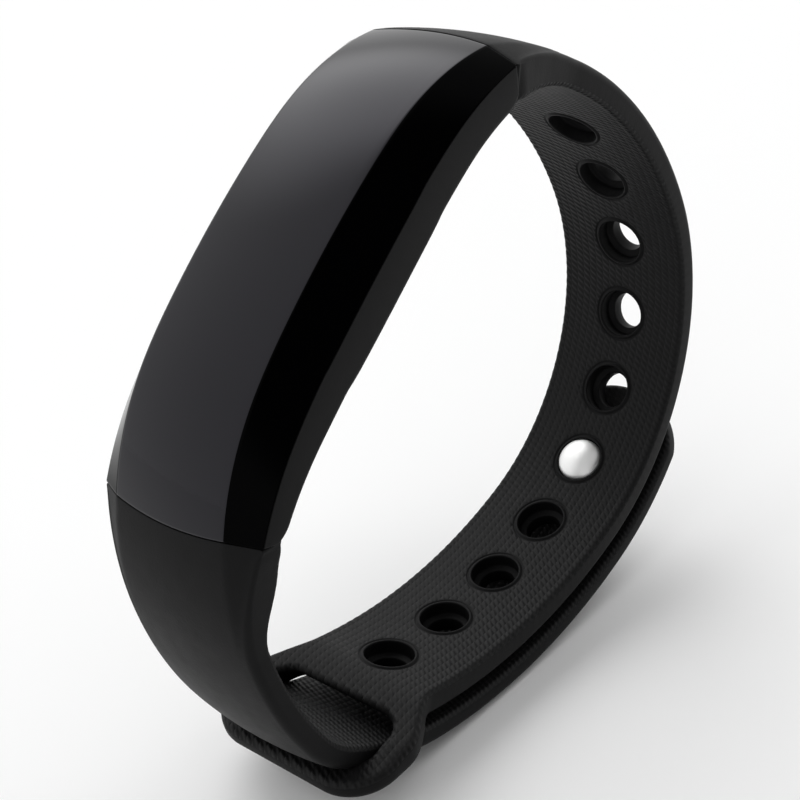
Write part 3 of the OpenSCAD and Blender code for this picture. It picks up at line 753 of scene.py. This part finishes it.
def top_curve(n=800, ease_l=5.0, past_l=1.5):
    """The top facet's curve from the middle to past_l beyond an end, its change of arc eased over ease_l.

    Returns the angles and the x and z at them; the end stays where the two plain arcs would put it.
    """
    whole = FLAT_L + END_L
    length = np.linspace(0, whole + past_l, n)
    k = smooth((length - FLAT_L + ease_l) / (2 * ease_l))
    bend = 1 / FLAT_R + (1 / END_R - 1 / FLAT_R) * k
    d = length[1]
    angle = np.r_[0, np.cumsum((bend[1:] + bend[:-1]) / 2 * d)]
    mid = (angle[1:] + angle[:-1]) / 2
    x = np.r_[0, np.cumsum(np.cos(mid) * d)]
    z = np.r_[0, np.cumsum(-np.sin(mid) * d)]
    end_x = (FLAT_R - END_R) * sind(FLAT_A) + END_R * sind(END_A)
    end_z = FLAT_R * (cosd(FLAT_A) - 1) + END_R * (cosd(END_A) - cosd(FLAT_A))
    t = (length / whole) ** 3
    off_x, off_z = end_x - np.interp(whole, length, x), end_z - np.interp(whole, length, z)
    return np.degrees(angle), x + off_x * t, z + off_z * t


TOP_A, TOP_X, TOP_Z = top_curve()


def top_at(a):
    return np.sign(a) * np.interp(np.abs(a), TOP_A, TOP_X), np.interp(np.abs(a), TOP_A, TOP_Z)


def along(a):
    """Share of the way from the module's middle to its end."""
    aa = np.abs(a)
    length = np.where(aa <= FLAT_A, FLAT_R * np.radians(aa), FLAT_L + END_R * np.radians(aa - FLAT_A))
    return length / (FLAT_L + END_L)


def bevel_at(a):
    return float(BEVEL_MID - BEVEL_LOSS * along(a) ** BEVEL_POWER)


def depth_at(a):
    loss = DEPTH_LOSS_UP if a > 0 else DEPTH_LOSS_DOWN
    return float(DEPTH_MID - loss * along(a) ** DEPTH_POWER)


def place_module(a, profile):
    """A profile's points, as (y, depth under the top facet), at the angle a along the module."""
    y, d = np.array(profile, float).T
    k = np.clip((abs(a) - BOW_A) / (END_A - BOW_A), 0, 1) ** 2 * np.clip(1 - d / BOW_DEPTH, 0, 1)
    a = a + np.sign(a) * np.degrees(seam_bow(y) / END_R) * k
    x, z = top_at(a)
    x, z = x - d * sind(a), z - d * cosd(a)
    c, s = cosd(TILT), sind(TILT)
    return to_world(x * c - z * s + MODULE[0], y, x * s + z * c + MODULE[1])


def round_corner(p, r, n=5):
    """Rounds each inner point of an open profile of (y, d) by its radius."""
    out = [p[0]]
    for i in range(1, len(p) - 1):
        a, b, c = (np.array(p[k], float) for k in (i - 1, i, i + 1))
        da, dc = a - b, c - b
        la, lc = np.linalg.norm(da), np.linalg.norm(dc)
        da, dc = da / la, dc / lc
        cut = min(r[i], 0.45 * la, 0.45 * lc)
        if cut == 0:
            out.append(tuple(b))
            continue
        for k in range(n + 1):
            t = k / n
            q = b + da * cut * (1 - t) ** 2 + dc * cut * t ** 2
            out.append(tuple(q))
    out.append(p[-1])
    return out


def mirrored(half):
    """A whole profile from its -y half, whose last point is in the middle."""
    return half + [(-y, d) for y, d in half[-2::-1]]


def loft(name, stations, profile, mats, slot_of):
    """A closed skin through the profiles at the stations; slot_of(i) is the material of the face i."""
    rows = [profile(a) for a in stations]
    n = len(rows[0])
    verts = np.vstack([place_module(a, r) for a, r in zip(stations, rows)])
    faces, index = [], []
    for k in range(len(stations) - 1):
        for i in range(n):
            j = (i + 1) % n
            faces.append((k * n + i, (k + 1) * n + i, (k + 1) * n + j, k * n + j))
            index.append(slot_of(i))
    faces.append(tuple(range(n)))
    faces.append(tuple(range((len(stations) - 1) * n, len(stations) * n))[::-1])
    index += [0, 0]
    uv = np.array([(a * UV_PER_DEGREE, q[0] * UV_PER_MM) for a, r in zip(stations, rows) for q in r])
    return make(name, verts, faces, mats, uv=uv, index=index, smooth_angle=35)


def bar(verts, faces, rows, side):
    """Adds a closed bar through rows of points; side is 1 or -1, for the way round that a row goes."""
    start, n = sum(len(v) for v in verts), len(rows[0])
    verts.extend(rows)
    for k in range(len(rows) - 1):
        low = start + k * n
        for i in range(n):
            j = (i + 1) % n
            faces.append((low + i, low + j, low + n + j, low + n + i)[::-side])
    last = start + (len(rows) - 1) * n
    faces.append(tuple(range(start, start + n))[::side])
    faces.append(tuple(range(last, last + n))[::-side])


def end_stations(end, n):
    """Even stations from -end to end, with close ones next to the ends, where the edges are eased."""
    near = np.array([0, 0.1, 0.25])
    return np.concatenate([near - end, np.linspace(0.5 - end, end - 0.5, n), end - near[::-1]])


def ease(a, end):
    """How far the skin drops in, next to the end edge, in mm."""
    t = np.clip((abs(end) - abs(a)) / EASE_A, 0, 1)
    return EDGE_EASE * (1 - math.sqrt(max(0.0, 1 - (1 - t) ** 2)))


def lens_profile(a):
    b, e = bevel_at(a), ease(a, LENS_END)
    crown = [(y, e - FACET_CROWN * (1 - (y / HALF_F) ** 2)) for y in np.linspace(-HALF_F, 0, 8)]
    half = [(LENS_RIM - HALF_M, b), (e - HALF_M, b - 0.04), (-HALF_F, e)] + crown[1:]
    half = round_corner(half, [0, 0.08, 0.22] + [0] * 7)
    return mirrored(half) + [(HALF_F - 0.6, 1.0), (0.6 - HALF_F, 1.0)]


# Faces of the lens's profile on one bevel, and points of its hidden underside
BEVEL_FACES, UNDER_POINTS = 10, 2
LAST_UPPER = len(lens_profile(0.0)) - UNDER_POINTS - 1


def lens_slot(i):
    """1 on the two bevels and the hidden underside, 0 on the top facet."""
    return int(i < BEVEL_FACES or i >= LAST_UPPER - BEVEL_FACES)


def case_profile(a):
    b, d = bevel_at(a), depth_at(a)
    w = HALF_M - ease(a, LENS_END)
    chamfer = 0.45 + 0.5 * np.clip((abs(a) - 34) / 3.5, 0, 1) ** 2
    wall = [(WALL - w, d), (chamfer - w, d), (-w, d - chamfer * 1.1), (-w, b + 0.04), (0.5 - w, b + GAP)]
    return round_corner(wall, [0, 0.25, 0.25, 0.06, 0]) + [(WALL - HALF_M, b + GAP)]


def end_profile(a, y):
    """An end wall at the angle a, through the places y; its lower edge is rounded at the very end."""
    b, d = bevel_at(a) + GAP, depth_at(a) - (0.15 if abs(a) == LENS_END else 0)
    return [(v, b) for v in y] + [(v, d) for v in y[::-1]]


def case_skin(name, mats):
    """Both side walls, each a closed bar, and the end walls between them."""
    verts, faces = [], []
    for side in (1, -1):
        rows = []
        for a in end_stations(LENS_END, 90):
            rows.append(place_module(a, [(side * y, d) for y, d in case_profile(a)]))
        bar(verts, faces, rows, side)
    y = np.linspace(WALL - 0.05 - HALF_M, HALF_M - WALL + 0.05, 9)
    for side in (1, -1):
        angles = side * np.array([END_A - 3.0, END_A - 1.5, END_A - 0.3, LENS_END])
        bar(verts, faces, [place_module(a, end_profile(a, y)) for a in angles], side)
    return make(name, np.vstack(verts), faces, mats, smooth_angle=35)


def cover_profile(a):
    d, e = depth_at(a), ease(a, COVER_A)
    w = HALF_M - WALL - 0.06
    half = [(0.3 - w, d - 0.9), (-w, d - 0.6), (-w, d - e), (0, d + 0.02 - e)]
    return mirrored(round_corner(half, [0, 0.1, 0.16, 0]))


lens = loft("lens_skin", end_stations(LENS_END, 110), lens_profile, [lens_mat, bevel_mat], lens_slot)
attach(lens, "band")
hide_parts("front_lens")
case = case_skin("case_skin", [case_mat])
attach(case, "band")
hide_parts("case_frame")
cover = loft("back_cover_skin", end_stations(COVER_A, 80), cover_profile, [case_mat], lambda i: 0)
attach(cover, "band")
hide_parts("back_cover")
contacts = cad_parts["charge_contacts"]
contacts.data.materials.clear()
contacts.data.materials.append(gold_mat)

# ---------------------------------------------------------------- stud and button
# Radii of the stud's head, dome and neck, and how far the dome's top stands out of the wrist side
HEAD_R, DOME_R, NECK_R, DOME_TOP = 2.3, 3.6, 1.5, 1.0
# Radius of the button's crown, and the height of its top outwards from the wrist side
BUTTON_CROWN_R, BUTTON_TOP = 14.0, 6.9


def sagitta(r, ball_r):
    """How much lower a ball's surface is at the radius r than on its axis."""
    return ball_r - math.sqrt(ball_r ** 2 - r ** 2)


def lathe(name, rows, mat, n=72):
    """A turned piece about the stud's axis: rows of (radius, height outwards from the wrist side)."""
    x, z, h = wrist.at(STUD_L)
    t = np.linspace(0, 2 * math.pi, n, endpoint=False)
    rings = []
    for r, o in rows:
        du, dv = r * np.cos(t), r * np.sin(t)
        rings.append(to_world(x + du * cosd(h) - o * sind(h), dv, z + du * sind(h) + o * cosd(h)))
    verts, faces = [], []
    bar(verts, faces, rings, -1)
    return make(name, np.vstack(verts), faces, [mat], smooth_angle=40)


dome = [(0.02, 0.02 - DOME_TOP)]
dome += [(r, sagitta(r, DOME_R) - DOME_TOP) for r in np.linspace(0.25, 2.12, 12)]
head = [(2.2, -0.1), (2.27, 0.02), (HEAD_R, 0.2), (HEAD_R, 1.0), (2.26, 1.12), (2.1, 1.2), (1.6, 1.2)]
stud = lathe("stud_skin", dome + head + [(NECK_R, 1.3), (NECK_R, 5.9)], metal_mat)
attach(stud, "tip")
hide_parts("clasp_stud")
rim = [(NECK_R, 5.7), (2.9, 5.72), (3.04, 5.8), (3.1, 6.0), (3.1, 6.35), (3.06, 6.5), (2.95, 6.58)]
crown = [(r, BUTTON_TOP - sagitta(r, BUTTON_CROWN_R)) for r in np.linspace(2.7, 0.05, 12)]
button = lathe("button_skin", rim + crown, metal_mat)
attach(button, "tip")
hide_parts("clasp_button")

# ---------------------------------------------------------------- floor, sky, camera
FLOOR_HALF = 3
floor_mesh = bpy.data.meshes.new("floor")
corners = [(x * FLOOR_HALF, y * FLOOR_HALF, 0) for x, y in ((-1, -1), (1, -1), (1, 1), (-1, 1))]
floor_mesh.from_pydata(corners, [], [(0, 1, 2, 3)])
floor = bpy.data.objects.new("floor", floor_mesh)
bpy.context.scene.collection.objects.link(floor)
floor_mesh.materials.append(material("floor", (0.95, 0.95, 0.95), 0.9, spec=0.1)[0])

world = bpy.data.worlds.new("studio")
bpy.context.scene.world = world
world.use_nodes = True
bpy.context.scene.view_settings.view_transform = "Standard"


def lobe(tree, toward, inner, outer, gain):
    """Light from a round patch of the sky: gain out to inner degrees from its middle, none past outer."""
    n = tree.nodes
    coords = n.new("ShaderNodeTexCoord")
    dot = n.new("ShaderNodeVectorMath")
    dot.operation = "DOT_PRODUCT"
    dot.inputs[1].default_value = Vector(toward).normalized()
    tree.links.new(coords.outputs["Generated"], dot.inputs[0])
    fade = n.new("ShaderNodeMapRange")
    fade.interpolation_type = "SMOOTHERSTEP"
    fade.inputs["From Min"].default_value = math.cos(math.radians(outer))
    fade.inputs["From Max"].default_value = math.cos(math.radians(inner))
    fade.inputs["To Max"].default_value = gain
    tree.links.new(dot.outputs["Value"], fade.inputs["Value"])
    return fade.outputs["Result"]


# An even white sky, a broad bright patch over the module, and a dark one behind the camera
SKY, PATCH, DARK = 1.08, 1.6, -1.0
sky_tree = world.node_tree
sky_tree.nodes["Background"].inputs["Color"].default_value = (1, 1, 1, 1)
patch = lobe(sky_tree, direction((0.12, 0.6, 0.79)), 5, 30, PATCH)
dark = lobe(sky_tree, direction((-0.2, -0.88, 0.42)), 22, 52, DARK)
total = math_node(sky_tree, "ADD", math_node(sky_tree, "ADD", patch, dark), SKY)
sky_tree.links.new(total, sky_tree.nodes["Background"].inputs["Strength"])

# The camera in the band's frame: its place in mm, and the directions to its right, down and forward
CAMERA_AT = (-128.27, -78.76, 43.91)
CAMERA_AXES = (0.6532, -0.7564, 0.0346), (-0.2382, -0.2487, -0.9389), (0.7188, 0.6050, -0.3426)
cam_data = bpy.data.cameras.new("camera")
cam = bpy.data.objects.new("camera", cam_data)
bpy.context.scene.collection.objects.link(cam)
cam_data.sensor_width = 36
cam_data.lens = 67.87
cam_data.clip_start, cam_data.clip_end = 0.01, 10
place = to_world(*np.array(CAMERA_AT))
right, down, forward = (direction(axis) for axis in CAMERA_AXES)
m = Matrix.Identity(4)
for i in range(3):
    m[i][0], m[i][1], m[i][2], m[i][3] = right[i], -down[i], -forward[i], place[i]
cam.matrix_world = m
bpy.context.scene.camera = cam
